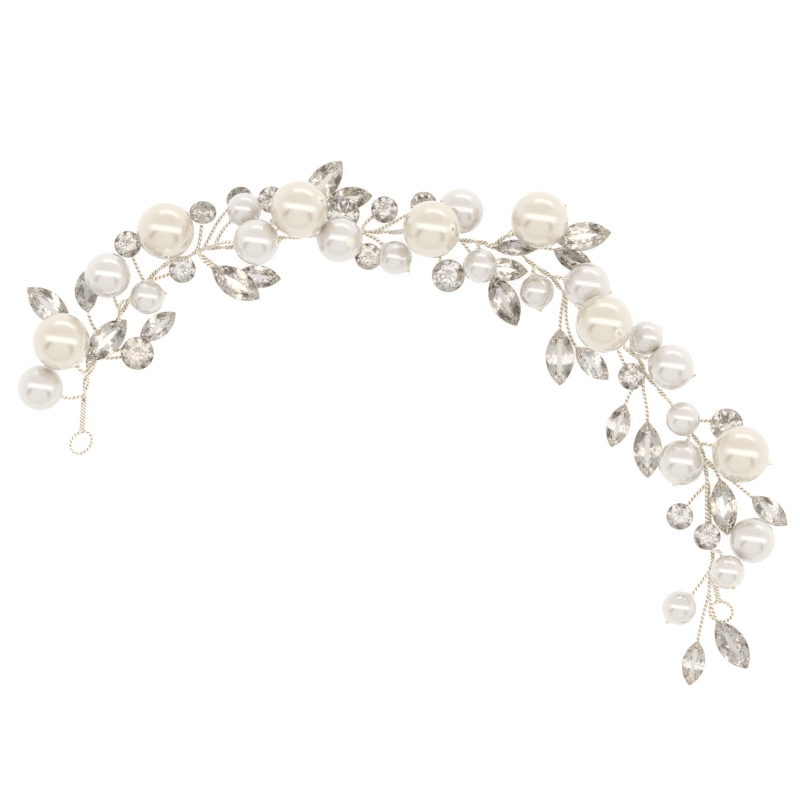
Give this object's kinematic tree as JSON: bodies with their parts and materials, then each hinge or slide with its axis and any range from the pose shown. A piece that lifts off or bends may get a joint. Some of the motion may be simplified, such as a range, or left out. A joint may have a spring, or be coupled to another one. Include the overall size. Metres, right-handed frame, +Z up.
{
  "type": "hair vine",
  "caption": "Bridal hair vine of round pearls and boat-shaped and round cut stones on twisted wire, bent in an arc, with a small wire loop at each end for a hairpin or ribbon.",
  "frame": {"origin": "bottom centre of the vine's box, on the surface on which it lies", "axes": "+X from the vine's left end to its right, along its longest extent, +Y towards the top of its arc, +Z up"},
  "size_m": [0.1341, 0.0915, 0.016],
  "materials": {
    "large_pearl": "cream pearl lustre",
    "pearl": "white pearl lustre",
    "navette_crystal": "clear cut glass with a champagne foil back",
    "round_crystal": "clear cut glass with a champagne foil back",
    "twisted_wire": "champagne silver plating",
    "loop_wire": "champagne silver plating",
    "wrap_wire": "champagne silver plating"
  },
  "bodies": {
    "root": {"pearl_large_1": "large_pearl", "pearl_large_2": "large_pearl", "pearl_large_3": "large_pearl", "pearl_large_4": "large_pearl", "pearl_large_5": "large_pearl", "pearl_large_6": "large_pearl", "pearl_large_7": "large_pearl", "pearl_medium_1": "pearl", "pearl_medium_2": "pearl", "pearl_medium_3": "pearl", "pearl_medium_4": "pearl", "pearl_medium_5": "pearl", "pearl_medium_6": "pearl", "pearl_medium_7": "pearl", "pearl_medium_8": "pearl", "pearl_medium_9": "pearl", "pearl_small_1": "pearl", "pearl_small_2": "pearl", "pearl_small_3": "pearl", "pearl_small_4": "pearl", "pearl_small_5": "pearl", "pearl_small_6": "pearl", "pearl_small_7": "pearl", "pearl_small_8": "pearl", "pearl_small_9": "pearl", "navette_large_1": "navette_crystal", "navette_large_2": "navette_crystal", "navette_large_3": "navette_crystal", "navette_large_4": "navette_crystal", "navette_large_5": "navette_crystal", "navette_large_6": "navette_crystal", "navette_large_7": "navette_crystal", "navette_large_8": "navette_crystal", "navette_large_9": "navette_crystal", "navette_large_10": "navette_crystal", "small_navettes": "navette_crystal", "round_large_1": "round_crystal", "round_large_2": "round_crystal", "round_large_3": "round_crystal", "round_large_4": "round_crystal", "small_rounds": "round_crystal", "spray_wire_1": "twisted_wire", "spray_wire_2": "twisted_wire", "spray_wire_3": "twisted_wire", "spray_wire_4": "twisted_wire", "spray_wire_5": "twisted_wire", "spray_wire_6": "twisted_wire", "spray_wire_7": "twisted_wire", "spray_wire_8": "twisted_wire", "end_loop_left": "loop_wire", "end_loop_right": "loop_wire", "end_wrap_left": "wrap_wire", "end_wrap_right": "wrap_wire"}
  },
  "joints": []
}
